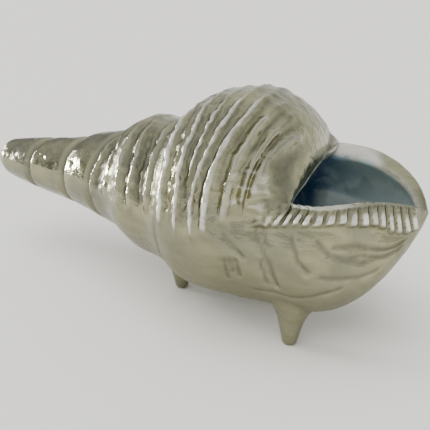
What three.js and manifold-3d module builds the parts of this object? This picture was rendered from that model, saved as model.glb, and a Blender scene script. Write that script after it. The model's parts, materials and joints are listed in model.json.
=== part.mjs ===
// A small cast metal conch shell that lies with its mouth upwards on three peg feet.
// Millimetres, +Z up. Along is a place on the shell's axis, which runs in X from the spire to the mouth.
// An angle round the axis is in degrees from straight up, growing towards the front (-Y).
import * as THREE from "three";
import { mergeVertices } from "three/addons/utils/BufferGeometryUtils.js";
import Module from "manifold-3d";

// Driving dimensions
const TIP = 2.2; // place of the spire's tip on the axis
const MOUTH_END = 110; // and of the mouth's end
const AXIS_HEIGHT = 23.9; // shell's axis above the surface that the feet stand on
const WALL = 2.2; // thickness of the casting round the hollow
const HOLLOW_SETBACK = [[44, 0], [54, 1.4], [62, 1.4], [68, 2.1]]; // how far it lies behind the outside
const HOLLOW_START = 18; // where the hollow begins, inside the whorls
const HOLLOW_ROUNDING = 14; // length over which the hollow's closed end is rounded
const TIP_ROUNDING = 5; // length of the spire's rounded tip
const DOME_CREST = 76; // highest place of the body whorl
const ARCH = 89.3; // edge of the body whorl over the mouth
const BELLY_FROM = 70; // where the belly begins to pass into the mouth's section
const MOUTH_END_HEIGHT = 5; // how far the mouth's end lies above the axis
const MOUTH_END_SIDE = -1.2; // and how far to the front
const NOSE_CURVE = [2.4, 0.8]; // how bluntly the mouth closes at its end
const LIP_SQUEEZE = 0.4; // share by which the front lip draws in towards the mouth's end
const SQUEEZE_PLACES = [0.2, 0.75]; // where that begins and is complete, as shares of the mouth's length
const SQUEEZE_ANGLES = [140, 80]; // and the same round the axis

// Radius of the underside along the axis, and what the top side adds to it
const UNDERSIDE = [
  [4.6, 4.45], [13.7, 6.25], [30, 8.3], [41.7, 10.8], [46.5, 12.1], [51.7, 14.8], [59, 16.3], [67.5, 19.5],
  [90, 19.2],
];
const TOP_SWELL = [
  [4.6, 0.4], [12, 0], [30, 0.2], [35.5, 0.8], [41.7, 0.6], [45.5, 0.45], [48.5, 1.5], [51.7, 1.2], [59, 0.1],
  [67, 2.8], [76, 4.5], [90, 4.5],
];
const TOP_SWELL_ANGLE = -10; // where the swell is greatest

// Radius of the mouth's section by angle: from front lip to back lip under the belly, and over the arch
const FRONT_LIP = 65;
const BACK_LIP = 308;
const BELLY_SECTION = [
  [65, 18.3], [76, 18.5], [88, 18.7], [110, 19], [180, 19.2], [240, 19.4], [280, 19], [308, 18.3],
];
const ARCH_SECTION = [[-52, 18.3], [-34, 13.8], [0, 11.4], [39, 12.8], [65, 18.3]];
const CORNER_BLEND = 12; // degrees over which arch and belly pass into each other

// Rings round the shell lean: how far each shifts along the axis at the front and at the back
const FRONT_DRIFT = [
  [8, 0], [19.4, -2.3], [31.5, -1.6], [45, -3.6], [48.6, -2], [51.4, 0.5], [53.9, 1.8], [64.6, 0.9],
  [69.3, 0.2], [76.5, -3.7], [79.8, -4.6], [84.9, -3.6], [87.2, -4.4], [ARCH, 0],
];
const BACK_DRIFT = [[8, 0], [30, -1.5], [60, -4], [82, -4], [ARCH, 0]];
const FRONT_DRIFT_ANGLES = { grown: 80, from: 110 }; // complete here, and lost again from here to the bottom
const BACK_DRIFT_ANGLES = { grown: 95, from: 120 };

// Sutures: turns of the spiral along the axis, wound mostly round the back
const TURNS = [[0, 0], [19.4, 1], [31.5, 2], [43.4, 3], [61.6, 4], [ARCH, 5], [MOUTH_END, 5.7]];
const WINDING_FROM = 185;
const WINDING_TO = 335;
const SUTURE_DEPTH = [[32, 0.85], [50, 0.65], [60, 0.3]]; // along the axis
const SUTURE_WIDTH = 0.9;
const SUTURE_BEGINS = [2, 12]; // the spire's tip is plain
const SUTURE_TO_BACK = [64, 72]; // from here on the groove shows at the back only
const SUTURE_FADE = [30, 10]; // degrees over which its ends run out

// Ridges over the upper side of the two large whorls
const RIDGES = [45, 48.6, 51.4, 53.9, 58.4, 64.6, 69.3, 73, 76.5, 79.8, 82.7, 85, 87.2];
const RIDGE_HEIGHT = 0.7;
const RIDGE_WIDTH = 0.95;
const RIDGE_SINK = 0.45; // share of its height by which the valleys lie under the plain surface
const VALLEY_REACH = [3.2, 1.5]; // distance from a ridge at which the sinking is gone, and is complete
const RIDGE_FAINT_TOP = { size: 0.3, angles: [6, 34] }; // the ridges are worn down over the top
const RIDGED_FROM = [42.5, 45];
const RIDGED_TO = [ARCH, 88];
const RIDGE_ENDS_FRONT = [90, 76]; // degrees from the top over which a ridge runs out
const RIDGE_ENDS_BACK = [112, 85];

// Teeth across the front lip, and the peg feet as [along, to the back]
const TEETH = 17;
const TOOTH_FROM = 84.9;
const TOOTH_TO = 107.7;
const TOOTH_SIZE = [0.62, 1.6, 0.75]; // half sizes along the lip, across it and outwards
const TOOTH_CENTRE = 1.6; // from the lip's edge to a tooth's middle
const TOOTH_CROWDING = 0.25; // how much closer the teeth stand towards the mouth's end
const FIRST_TEETH = { size: 0.7, until: 0.15 }; // smaller teeth at both ends of the row
const LAST_TEETH = { size: 0.8, from: 0.75 };
const TOOTH_ANGLE_SPAN = 96; // degrees of section that match the chord from the lip to the belly's bottom
const FEET = [[59.2, -2.7], [89.3, -10.9], [72, 12]];
// Foot radius by height, as a share of the way up to the belly, with a flare where it joins
const FOOT_PROFILE = [[0, 1.1], [0.05, 1.5], [0.4, 2.1], [0.72, 2.75], [0.9, 3.4], [1, 4.2]];
const FOOT_BURIED = 1.2; // how far the middle of the foot's top reaches into the wall
const FLARE_BURIED = 0.3; // and the flare's edge

// Faceting
const BELLY_COLUMNS = 28;
const ARCH_COLUMNS = 14;
const MOUTH_ROWS = 16;
const HOLLOW_ROWS = 10;
const HOLLOW_CROWDING = 1.6; // closes the hollow's rows up towards its rounded end
const TIP_RINGS = [2.35, 2.9, 3.8, 5.1, 7.2, 9.5, 13];
const SUTURE_RINGS = [-1.5, -0.7, 0, 0.7, 1.5]; // round each groove of the spire
const SPIRE_RINGS = [25.5, 36, 40, 42.3, 43.4];
const VALLEY_STEP = 1.6; // between the rings from ridge to ridge
const ARCH_RINGS = [87.2, 88.3, 88.9, 89.2, ARCH];
const FOOT_SIDES = 14;
const TOOTH_FACETS = [6, 4];

// Small steps: for a slope along the axis and round it, for finding a height, and for merging points
const NEAR_ALONG = 0.4;
const NEAR_ANGLE = 3;
const HEIGHT_ROUNDS = 8;
const SAME_POINT = 1e-4;

const METAL = new THREE.MeshStandardMaterial({ color: 0xb3ab97, roughness: 0.28, metalness: 1 });

const radians = THREE.MathUtils.degToRad;
const mix = THREE.MathUtils.lerp;

// Rises gently from 0 to 1 as the value goes from one place to the other, which may lie before it
function smooth(from, to, value) {
  const t = THREE.MathUtils.clamp((value - from) / (to - from), 0, 1);
  return t * t * (3 - 2 * t);
}

// A smooth curve through points [place, value], held level beyond its ends
function curve(points) {
  const slope = (i) => {
    const [before, after] = [points[Math.max(i - 1, 0)], points[Math.min(i + 1, points.length - 1)]];
    return (after[1] - before[1]) / (after[0] - before[0]);
  };
  return (place) => {
    if (place <= points[0][0]) return points[0][1];
    const next = points.findIndex(([x]) => x >= place);
    if (next < 0) return points.at(-1)[1];
    const [[x0, y0], [x1, y1]] = [points[next - 1], points[next]];
    const span = x1 - x0;
    const t = (place - x0) / span;
    const rise = y1 - y0;
    const bend0 = slope(next - 1) * span - rise;
    const bend1 = rise - slope(next) * span;
    return y0 + rise * t + t * (1 - t) * (bend0 * (1 - t) + bend1 * t);
  };
}

const underside = curve(UNDERSIDE);
const topSwell = curve(TOP_SWELL);
const bellySection = curve(BELLY_SECTION);
const archSection = curve(ARCH_SECTION);
const turnsAt = curve(TURNS);
const sutureDepth = curve(SUTURE_DEPTH);
const hollowSetback = curve(HOLLOW_SETBACK);
const frontDrift = curve(FRONT_DRIFT);
const backDrift = curve(BACK_DRIFT);

const fullTurn = (angle) => ((angle % 360) + 360) % 360;
const overArch = (angle) => fullTurn(angle) < FRONT_LIP || fullTurn(angle) > BACK_LIP;
const signedAngle = (angle) => (fullTurn(angle) > 180 ? fullTurn(angle) - 360 : fullTurn(angle));

// Share of a full turn that the spiral has made at an angle
const winding = (angle) => smooth(WINDING_FROM, WINDING_TO, fullTurn(angle));

// How far a ring has shifted along the axis at an angle
function drift(ring, angle) {
  const turned = signedAngle(angle);
  const share = ({ grown, from }) =>
    smooth(0, grown, Math.abs(turned)) * smooth(180, from, Math.abs(turned));
  if (turned > 0) return frontDrift(ring) * share(FRONT_DRIFT_ANGLES);
  return backDrift(ring) * share(BACK_DRIFT_ANGLES);
}

// 1 on the belly's side of the mouth's corners, 0 on the arch's side
function bellyShare(angle) {
  const turned = fullTurn(angle);
  const front = smooth(FRONT_LIP - CORNER_BLEND, FRONT_LIP + CORNER_BLEND, turned);
  const back = smooth(BACK_LIP + CORNER_BLEND, BACK_LIP - CORNER_BLEND, turned);
  return front * back;
}

// The plain radius, without sutures or ridges
function plainRadius(along, angle) {
  const tip = THREE.MathUtils.clamp((along - TIP) / TIP_ROUNDING, 0, 1);
  const rounding = Math.sqrt(1 - (1 - tip) ** 2);
  const upward = 0.5 + 0.5 * Math.cos(radians(angle - TOP_SWELL_ANGLE));
  const body = underside(along) * rounding + topSwell(along) * upward;
  const fall = Math.min(Math.max((along - DOME_CREST) / (ARCH - DOME_CREST), 0), 1);
  const toArch = 1 - Math.sqrt(1 - fall ** 2);
  const toBelly = smooth(BELLY_FROM, ARCH, along);
  const section = overArch(angle) ? archSection(signedAngle(angle)) : bellySection(fullTurn(angle));
  return mix(body, section, mix(toArch, toBelly, bellyShare(angle)));
}

// The groove between two turns, cut along the spiral
function suture(along, angle) {
  const pitch = 1 / (turnsAt(along + 0.5) - turnsAt(along - 0.5));
  const turn = turnsAt(along) - winding(angle);
  const distance = (turn - Math.round(turn)) * pitch;
  const turned = fullTurn(angle);
  const [rise, end] = SUTURE_FADE;
  const risen = smooth(WINDING_FROM, WINDING_FROM + rise, turned);
  const atBack = risen * smooth(WINDING_TO + end, WINDING_TO - end, turned);
  const present = smooth(...SUTURE_BEGINS, along) * mix(1, atBack, smooth(...SUTURE_TO_BACK, along));
  return sutureDepth(along) * present * Math.exp(-((distance / SUTURE_WIDTH) ** 2));
}

// Low rounded ridges over the two large whorls, which run out towards the underside
function ridges(ring, angle) {
  const turned = signedAngle(angle);
  const present = turned > 0 ? smooth(...RIDGE_ENDS_FRONT, turned) : smooth(...RIDGE_ENDS_BACK, -turned);
  const nearest = Math.min(...RIDGES.map((place) => Math.abs(ring - place)));
  const whorls = smooth(...RIDGED_FROM, ring) * smooth(...RIDGED_TO, ring);
  const crest = Math.exp(-((nearest / RIDGE_WIDTH) ** 2));
  const { size, angles } = RIDGE_FAINT_TOP;
  const worn = mix(size, 1, smooth(...angles, Math.abs(turned)));
  return RIDGE_HEIGHT * worn * present * whorls * (crest - RIDGE_SINK * smooth(...VALLEY_REACH, nearest));
}

// A point of the casting. The inset is 0 on the outside and the wall's thickness in the hollow.
function shellPoint(along, angle, inset, relief = 0) {
  let radius = plainRadius(Math.min(along, ARCH), angle) + relief - inset;
  if (inset > 0) {
    const closed = Math.min((along - HOLLOW_START) / HOLLOW_ROUNDING, 1);
    radius *= Math.sqrt(1 - (1 - closed) ** 2);
  }
  const past = Math.max((along - ARCH) / (MOUTH_END - ARCH), 0);
  const nose = Math.max(1 - past ** NOSE_CURVE[0], 0) ** NOSE_CURVE[1];
  const drawnIn = LIP_SQUEEZE * smooth(...SQUEEZE_PLACES, past) * smooth(...SQUEEZE_ANGLES, fullTurn(angle));
  const setback = inset > 0 ? hollowSetback(along) : 0;
  return new THREE.Vector3(
    along - setback,
    MOUTH_END_SIDE * past ** 2 - radius * nose * (1 - drawnIn) * Math.sin(radians(angle)),
    MOUTH_END_HEIGHT * past ** 2 + radius * nose * Math.cos(radians(angle)),
  );
}

const outsidePoint = (ring, angle) =>
  shellPoint(ring + drift(ring, angle), angle, 0, ridges(ring, angle) - suture(ring, angle));
const hollowPoint = (ring, angle) => shellPoint(ring, angle, WALL);

const columnAngles = [];
for (let i = 0; i <= BELLY_COLUMNS; i++) {
  columnAngles.push(mix(FRONT_LIP, BACK_LIP, i / BELLY_COLUMNS));
}
for (let i = 1; i < ARCH_COLUMNS; i++) {
  columnAngles.push(mix(BACK_LIP, FRONT_LIP + 360, i / ARCH_COLUMNS));
}

// Places of the outside's rings: close at the tip and the sutures, then on each ridge and in each valley
function outsideRings() {
  const rings = [...TIP_RINGS, ...SPIRE_RINGS, ...ARCH_RINGS];
  const spireTurns = TURNS.filter(([, turn]) => turn >= 1 && turn <= 2);
  for (const [place] of spireTurns) rings.push(...SUTURE_RINGS.map((step) => place + step));
  RIDGES.slice(0, -1).forEach((place, i) => {
    const gap = RIDGES[i + 1] - place;
    const steps = Math.max(2, Math.round(gap / VALLEY_STEP));
    for (let step = 0; step < steps; step++) rings.push(place + (gap * step) / steps);
  });
  return rings.sort((a, b) => a - b);
}

function hollowRings() {
  const rings = [];
  for (let i = 1; i <= HOLLOW_ROWS; i++) {
    const t = i / HOLLOW_ROWS;
    rings.push(mix(HOLLOW_START, ARCH, t * t * mix(HOLLOW_CROWDING, 1, t)));
  }
  return rings;
}

// One closed skin: outside and hollow, each of whole rings and then open belly rows, joined along the rim
function castingGeometry() {
  const vertices = [];
  const triangles = [];
  const add = (point) => vertices.push(point) - 1;
  const quad = (a, b, c, d) => triangles.push(a, b, c, a, c, d);

  // Adds one side of the wall and returns the vertex numbers of its rim, from the front corner round
  function side(rings, pointAt, startAlong, facesIn) {
    const face = facesIn ? quad : (a, b, c, d) => quad(d, c, b, a);
    const count = columnAngles.length;
    const pole = add(pointAt(startAlong, 0));
    const rows = rings.map((ring) => columnAngles.map((angle) => add(pointAt(ring, angle))));
    for (let j = 0; j < count; j++) {
      const next = (j + 1) % count;
      face(pole, rows[0][j], rows[0][next], pole);
      for (let i = 1; i < rows.length; i++) {
        face(rows[i - 1][j], rows[i][j], rows[i][next], rows[i - 1][next]);
      }
    }
    const open = [rows.at(-1).slice(0, BELLY_COLUMNS + 1)];
    const bellyAngles = columnAngles.slice(0, BELLY_COLUMNS + 1);
    for (let i = 1; i < MOUTH_ROWS; i++) {
      const along = mix(ARCH, MOUTH_END, Math.sin((Math.PI / 2) * (i / MOUTH_ROWS)));
      open.push(bellyAngles.map((angle) => add(pointAt(along, angle))));
    }
    const end = add(pointAt(MOUTH_END, 180));
    open.push(open[0].map(() => end));
    for (let i = 1; i < open.length; i++) {
      for (let j = 0; j < BELLY_COLUMNS; j++) {
        face(open[i - 1][j], open[i][j], open[i][j + 1], open[i - 1][j + 1]);
      }
    }
    const front = open.map((row) => row[0]);
    const back = open.slice(0, -1).map((row) => row.at(-1)).reverse();
    return [...front, ...back, ...rows.at(-1).slice(BELLY_COLUMNS + 1)];
  }

  const outer = side(outsideRings(), outsidePoint, TIP, false);
  const inner = side(hollowRings(), hollowPoint, HOLLOW_START, true);
  for (let i = 0; i < outer.length; i++) {
    const next = (i + 1) % outer.length;
    quad(outer[next], inner[next], inner[i], outer[i]);
  }
  const solidTriangles = [];
  for (let i = 0; i < triangles.length; i += 3) {
    const [a, b, c] = triangles.slice(i, i + 3);
    if (a !== b && b !== c && c !== a) solidTriangles.push(a, b, c);
  }
  const geometry = new THREE.BufferGeometry().setFromPoints(vertices);
  geometry.setIndex(solidTriangles);
  return geometry;
}

// Height of the belly's underside at a place, from the axis
function bellyHeight(along, toBack) {
  let angle = 180;
  for (let i = 0; i < HEIGHT_ROUNDS; i++) {
    const point = shellPoint(along, angle, 0);
    const radius = Math.hypot(point.y, point.z);
    angle = 180 - THREE.MathUtils.radToDeg(Math.asin(THREE.MathUtils.clamp(-toBack / radius, -1, 1)));
  }
  return shellPoint(along, angle, 0).z;
}

// A tapered peg with a flat tip, flared where it meets the belly
function footGeometry([along, toBack]) {
  const vertices = [new THREE.Vector3(along, toBack, -AXIS_HEIGHT)];
  const triangles = [];
  for (const [share, radius] of FOOT_PROFILE) {
    for (let i = 0; i < FOOT_SIDES; i++) {
      const turn = (2 * Math.PI * i) / FOOT_SIDES;
      const x = along + radius * Math.cos(turn);
      const y = toBack + radius * Math.sin(turn);
      const sink = share === 1 ? FLARE_BURIED : 0;
      vertices.push(new THREE.Vector3(x, y, mix(-AXIS_HEIGHT, bellyHeight(x, y) + sink, share)));
    }
  }
  vertices.push(new THREE.Vector3(along, toBack, bellyHeight(along, toBack) + FOOT_BURIED));
  const ring = (level, i) => 1 + level * FOOT_SIDES + (i % FOOT_SIDES);
  const last = FOOT_PROFILE.length - 1;
  for (let i = 0; i < FOOT_SIDES; i++) {
    triangles.push(0, ring(0, i + 1), ring(0, i));
    for (let level = 0; level < last; level++) {
      const [a, b, c, d] = [ring(level, i), ring(level, i + 1), ring(level + 1, i + 1), ring(level + 1, i)];
      triangles.push(a, b, c, a, c, d);
    }
    triangles.push(ring(last, i), ring(last, i + 1), vertices.length - 1);
  }
  const geometry = new THREE.BufferGeometry().setFromPoints(vertices);
  geometry.setIndex(triangles);
  return geometry;
}

// A rounded tooth lying across the front lip
function toothGeometry(index) {
  const t = index / (TEETH - 1);
  const along = mix(TOOTH_FROM, TOOTH_TO, mix(t, Math.sin((Math.PI / 2) * t), TOOTH_CROWDING));
  const edge = shellPoint(along, FRONT_LIP, 0);
  const bottom = shellPoint(along, 180, 0);
  const angle = FRONT_LIP + (TOOTH_CENTRE / edge.distanceTo(bottom)) * TOOTH_ANGLE_SPAN;
  const centre = shellPoint(along, angle, 0);
  const across = shellPoint(along, angle + NEAR_ANGLE, 0)
    .sub(shellPoint(along, angle - NEAR_ANGLE, 0))
    .normalize();
  const lengthwise = shellPoint(along + NEAR_ALONG, angle, 0).sub(shellPoint(along - NEAR_ALONG, angle, 0));
  const outwards = new THREE.Vector3().crossVectors(lengthwise, across).normalize();
  lengthwise.crossVectors(across, outwards);
  const narrowing =
    mix(1, LAST_TEETH.size, smooth(LAST_TEETH.from, 1, t)) *
    mix(FIRST_TEETH.size, 1, smooth(0, FIRST_TEETH.until, t));
  const [long, wide, high] = TOOTH_SIZE;
  const geometry = new THREE.SphereGeometry(1, ...TOOTH_FACETS);
  geometry.scale(long, wide * narrowing, high * narrowing);
  const turned = new THREE.Matrix4().makeBasis(lengthwise, across, outwards);
  return geometry.applyMatrix4(turned.setPosition(centre));
}

const wasm = await Module();
wasm.setup();

function solidOf(geometry) {
  const bare = geometry.clone();
  bare.deleteAttribute("normal");
  bare.deleteAttribute("uv");
  const merged = mergeVertices(bare, SAME_POINT);
  const vertProperties = new Float32Array(merged.attributes.position.array);
  const triVerts = new Uint32Array(merged.index.array);
  return new wasm.Manifold(new wasm.Mesh({ numProp: 3, vertProperties, triVerts }));
}

function geometryOf(solid) {
  const { vertProperties, triVerts } = solid.getMesh();
  const geometry = new THREE.BufferGeometry();
  geometry.setAttribute("position", new THREE.BufferAttribute(new Float32Array(vertProperties), 3));
  geometry.setIndex(new THREE.BufferAttribute(new Uint32Array(triVerts), 1));
  geometry.computeVertexNormals();
  return geometry;
}

let casting = solidOf(castingGeometry());
for (const foot of FEET) casting = casting.add(solidOf(footGeometry(foot)));
for (let i = 0; i < TEETH; i++) casting = casting.add(solidOf(toothGeometry(i)));

const shell = new THREE.Mesh(geometryOf(casting), METAL);
shell.name = "shell";

// The part's origin lies under the middle of the shell, on the surface that the feet stand on
shell.geometry.computeBoundingBox();
const middle = shell.geometry.boundingBox.getCenter(new THREE.Vector3());
shell.position.set(-middle.x, -middle.y, -shell.geometry.boundingBox.min.z);

const conch = new THREE.Group();
conch.add(shell);
export default conch;
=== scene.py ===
import json
import math

import bpy
import numpy as np
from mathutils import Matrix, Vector

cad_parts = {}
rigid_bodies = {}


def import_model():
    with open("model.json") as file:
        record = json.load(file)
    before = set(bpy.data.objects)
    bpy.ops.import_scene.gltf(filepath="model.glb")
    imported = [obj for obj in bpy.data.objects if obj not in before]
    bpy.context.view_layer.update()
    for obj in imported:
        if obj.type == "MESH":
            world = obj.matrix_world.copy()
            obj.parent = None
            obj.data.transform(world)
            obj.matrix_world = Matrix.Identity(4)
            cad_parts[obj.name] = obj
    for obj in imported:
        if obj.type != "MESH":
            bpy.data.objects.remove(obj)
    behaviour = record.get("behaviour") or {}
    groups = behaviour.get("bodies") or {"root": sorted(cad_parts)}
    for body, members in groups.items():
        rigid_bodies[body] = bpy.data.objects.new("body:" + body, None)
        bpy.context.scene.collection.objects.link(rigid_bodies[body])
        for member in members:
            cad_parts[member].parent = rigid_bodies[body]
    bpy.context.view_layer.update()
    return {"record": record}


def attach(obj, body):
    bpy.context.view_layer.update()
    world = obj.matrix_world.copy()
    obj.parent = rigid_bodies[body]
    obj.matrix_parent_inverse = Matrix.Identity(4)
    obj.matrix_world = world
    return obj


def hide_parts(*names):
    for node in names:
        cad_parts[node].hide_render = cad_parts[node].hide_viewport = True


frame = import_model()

# A cast metal conch shell that lies with its mouth upwards on three peg feet
# Millimetres until the mesh is made. Along is a place on the shell's axis, which runs in X.
# An angle round the axis is in degrees from straight up, growing towards the front (-Y).
TIP = 2.2
MOUTH_END = 110
AXIS_HEIGHT = 23.9
WALL = 2.2
HOLLOW_SETBACK = [(44, 0), (54, 1.4), (62, 1.4), (68, 2.1)]
HOLLOW_START = 18
HOLLOW_ROUNDING = 14
TIP_ROUNDING = 5
DOME_CREST = 76
ARCH = 89.3
BELLY_LEAD = 6
MOUTH_END_HEIGHT = 5
MOUTH_END_SIDE = -1.2
NOSE_CURVE = (2.4, 0.8)
LIP_SQUEEZE = 0.4
SQUEEZE_PLACES = (0.2, 0.75)
SQUEEZE_ANGLES = (140, 80)

# Radius of the underside along the axis, and what the top side adds to it
UNDERSIDE = [
    (4.6, 4.45), (13.7, 6.25), (30, 8.3), (41.7, 10.8), (46.5, 12.1), (51.7, 14.8), (59, 16.3),
    (67.5, 19.5), (90, 19.2),
]
TOP_SWELL = [
    (4.6, 0.4), (12, 0), (30, 0.2), (35.5, 0.8), (41.7, 0.6), (45.5, 0.45), (48.5, 1.5), (51.7, 1.2),
    (59, 0.1), (67, 2.8), (76, 4.5), (90, 4.5),
]
TOP_SWELL_ANGLE = -10

# Radius of the mouth's section by angle, under the belly and over the arch
FRONT_LIP = 65
BACK_LIP = 308
BELLY_SECTION = [
    (65, 18.3), (76, 18.5), (88, 18.7), (110, 19), (180, 19.2), (240, 19.4), (280, 19), (308, 18.3),
]
ARCH_SECTION = [(-52, 18.3), (-34, 13.8), (0, 11.4), (39, 12.8), (65, 18.3)]
CORNER_BLEND = 12

# Rings round the shell lean: how far each shifts along the axis at the front and at the back
FRONT_DRIFT = [
    (8, 0), (19.4, -2.3), (31.5, -1.6), (45, -3.6), (48.6, -2), (51.4, 0.5), (53.9, 1.8), (64.6, 0.9),
    (69.3, 0.2), (76.5, -3.7), (79.8, -4.6), (84.9, -3.6), (87.2, -4.4), (ARCH, 0),
]
BACK_DRIFT = [(8, 0), (30, -1.5), (60, -4), (82, -4), (ARCH, 0)]
FRONT_DRIFT_ANGLES = (80, 110)
BACK_DRIFT_ANGLES = (95, 120)

# Grooves between the turns, wound mostly round the back
TURNS = [(0, 0), (19.4, 1), (31.5, 2), (43.4, 3), (61.6, 4), (ARCH, 5), (MOUTH_END, 5.7)]
WINDING_FROM = 185
WINDING_TO = 335
SUTURE_DEPTH = [(32, 0.95), (50, 0.7), (60, 0.35)]
SUTURE_WIDTH = 0.75
SUTURE_BEGINS = (2, 12)
SUTURE_TO_BACK = (64, 72)
SUTURE_FADE = (30, 10)

# Ridges over the upper side of the large whorls: place, angle at the front where each runs out, and height
RIDGES = [
    (45, 92, 0.8), (48.6, 90, 0.9), (51.4, 86, 0.9), (53.9, 88, 0.9), (58.4, 84, 0.9), (64.6, 86, 1),
    (69.3, 87, 1.05), (73, 58, 0.8), (76.5, 86, 1.1), (79.8, 83, 1.15), (82.7, 77, 1.15), (85, 70, 1.05),
    (87.2, 65, 0.9),
]
RIDGE_END = 7
RIDGE_WANDER = 0.22

# A ridge's section: half widths before and after its crest, and on the dome the slope before it
RIDGE_WIDTH = (0.85, 0.66)
RIDGE_ROUNDNESS = 2.2
RIDGE_RAMP = [(62, 1.5), (70, 1.35), (87, 0.95)]
RAMPED_FROM = (60, 66)
RIDGE_SINK = 0.4
VALLEY_REACH = (3.2, 1.5)

# Ridges are fainter within some degrees of an angle near the top, and most of all by the arch
RIDGE_FAINT_ROUND = -17
RIDGE_FAINT_TOP = (20, 50)
RIDGE_FAINT_ARCH = (79, 84)
RIDGE_LEAST = (0.28, 0.12)
RIDGE_MOST_BACK = 0.7

# Where the ridged part begins and ends, along the axis and by angle at the front and the back
RIDGED_FROM = (42.5, 45)
RIDGED_TO = (ARCH, 88)
RIDGED_FRONT = (92, 76)
RIDGED_BACK = (112, 85)

# The dome, its bare shoulder over the front lip, and the hammered patch there, which carries painted glints
DOME_RINGS = (57, 64)
SHOULDER_ANGLES = (58, 76)
SHOULDER_RINGS = (73, 79)
HAMMERED_ANGLES = (40, 52, 68, 75)
HAMMERED_PLACES = (77, 80, 85.5, 88)

# Teeth across the front lip
TEETH = 17
TOOTH_FROM = 84.9
TOOTH_TO = 107.7
TOOTH_FADES = (1.2, 0.9)
TOOTH_CROWDING = 0.25
TOOTH_SAMPLES = 200
TOOTH_HEIGHT = 0.9
TOOTH_ROUNDNESS = 3
TOOTH_SEED = 5
TOOTH_LENGTHS = (0.85, 1.1)
TOOTH_RISES = (0.8, 1.15)
TOOTH_REACH = [(84, 2.9), (90, 2.8), (96, 2.3), (102, 2.4), (106, 2.8), (109, 2.6)]
TOOTH_SLANT = (0.5, -0.35)
TOOTH_BAND = [(79, 2.4), (84, 1.1), (88, 0.5), (92, 0)]

# A tooth from its root, at share 0 of its length, to its end at 1: where it rises, ends, swells and is made
# bright by wear and painted highlight
TOOTH_ROOT = (-0.4, -0.05)
TOOTH_TAIL = (1.08, 0.84)
TOOTH_SWELL = (0.6, 1.15)
TOOTH_SWELLS_OVER = (0.1, 0.8)
TOOTH_HIGHLIGHT_OVER = (0.1, 0.5)
TOOTH_HIGHLIGHT_CREST = 1.6

# The rolled lip that carries the teeth
LIP_ROLL = 0.45
LIP_ROLL_ROOT = (-0.5, 0)
LIP_ROLL_TAIL = (1.25, 0.85)
LIP_ROLL_FADES = (4, 3)

# Grooves engraved in the belly: places (along, angle), half width and depth
GROOVES = [
    ([(84.1, 74), (84.5, 83), (85.9, 92), (87.2, 100), (88.2, 113)], 0.54, 0.57),
    ([(85.2, 74), (86.3, 85)], 0.49, 0.38),
    ([(78.9, 85), (80.3, 90), (82.3, 96)], 0.52, 0.47),
    ([(78.9, 100), (79, 106), (79, 113)], 0.56, 0.43),
    ([(80, 99), (80.3, 107)], 0.49, 0.38),
    ([(81, 99), (81.3, 110)], 0.56, 0.47),
    ([(85.4, 97), (86.5, 112)], 0.56, 0.47),
    ([(90.6, 80), (92, 92), (93.9, 100)], 0.54, 0.4),
    ([(94.9, 81), (96.7, 90), (98.9, 97), (101.8, 105)], 0.56, 0.24),
    ([(83.8, 121), (87.8, 119), (90.6, 120), (95.8, 117), (98.8, 118)], 0.56, 0.24),
    ([(97.3, 87), (100.6, 91), (106.9, 110)], 0.51, 0.28),
    ([(98.9, 97), (101.6, 100), (106.7, 116)], 0.51, 0.25),
    ([(96, 104), (100.8, 114), (104, 121)], 0.56, 0.21),
]
GROOVE_RADIUS = 18
LIP_RADIUS = 18.4

# Dents in the spire as (along, angle)
DENTS = [(20.6, 54), (22.4, 57), (17.4, 77), (34.3, 61), (45.2, 75)]
DENT_RADIUS = 0.8
DENT_DEPTH = 0.17
SPIRE_RADIUS = 8.5

# The ledge along the hollow's far wall, whose edge sinks to the mouth
LEDGE = 0.9
LEDGE_EDGE = [(82, 272), (102, 260)]
LEDGE_SLOPE = 3
LEDGE_BEGINS = (83, 90)
LEDGE_FRONT = 30

# The hollow's bare edge, painted pale partly as a reflection: its breadth by the mouth's end, how that
# fades, and how far it goes behind the arch
BARE_LIP = 2
BARE_PLACES = (96, 106)
BARE_FADES = (1.4, 0.6)
BARE_ARCH = (-0.1, 0.7)

# Unevenness of the casting: wavelength and seed, then depth, or a share of what it makes uneven
RIDGE_WAVER = (8, 11)
RIDGE_UNEVEN = (6, 21)
RIDGE_UNEVEN_SHARE = 0.22
SWELLS = (7, 51)
SWELL_DEPTH = 0.06
SWELLS_BEGIN = (3, 20)
DENT_UNEVEN = (1.3, 81)
DENT_UNEVEN_SHARE = 0.5
STROKES = (1.8, 91)
STROKE_DEPTH = 0.08
WALL_SWELLS = (6, 61)
WALL_SWELL_DEPTH = 0.12
WALL_GRAIN = (2.5, 71)
WALL_GRAIN_DEPTH = 0.05

# Hammer marks and grain: wavelength and seed, depth everywhere, and more depth on ridged whorls and the dome
HAMMER_MARKS = [((2.4, 31), 0.02, (0.075, 0.1)), ((1.3, 41), 0.006, (0.04, 0.065))]

# Painted shade in low places, and wear on heights brightened as painted highlight, as shares; a pair of them
# is for the small whorl and the dome
VALLEY_SHADE = (1, 0.6)
GROOVE_SHADE = 0.8
RIDGE_WEAR_AND_HIGHLIGHT = (0.3, 0.8)
RIDGE_HIGHLIGHT_OVER = (0.25, 0.7)
STROKE_GLINT = 0.5
STROKE_GLINT_OVER = (0.1, 0.8)
RIM_WEAR_AND_HIGHLIGHT = 0.8
BARE_CLEARED = 0.8
LEDGE_LIGHT_MARK = 0.5

# Peg feet as (along, to the back), and their radius by height as a share of the way up to the belly
FEET = [(59.2, -2.7), (89.3, -10.9), (72, 12)]
FRONT_FOOT = FEET[1]
FOOT_PROFILE = [
    (0, 0.9), (0.02, 1.25), (0.06, 1.5), (0.2, 1.75), (0.4, 2.1), (0.72, 2.75), (0.9, 3.4), (1, 4.2),
]
FOOT_BURIED = 1.2
FLARE_BURIED = 0.3
FOOT_SIDES = 32

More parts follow.
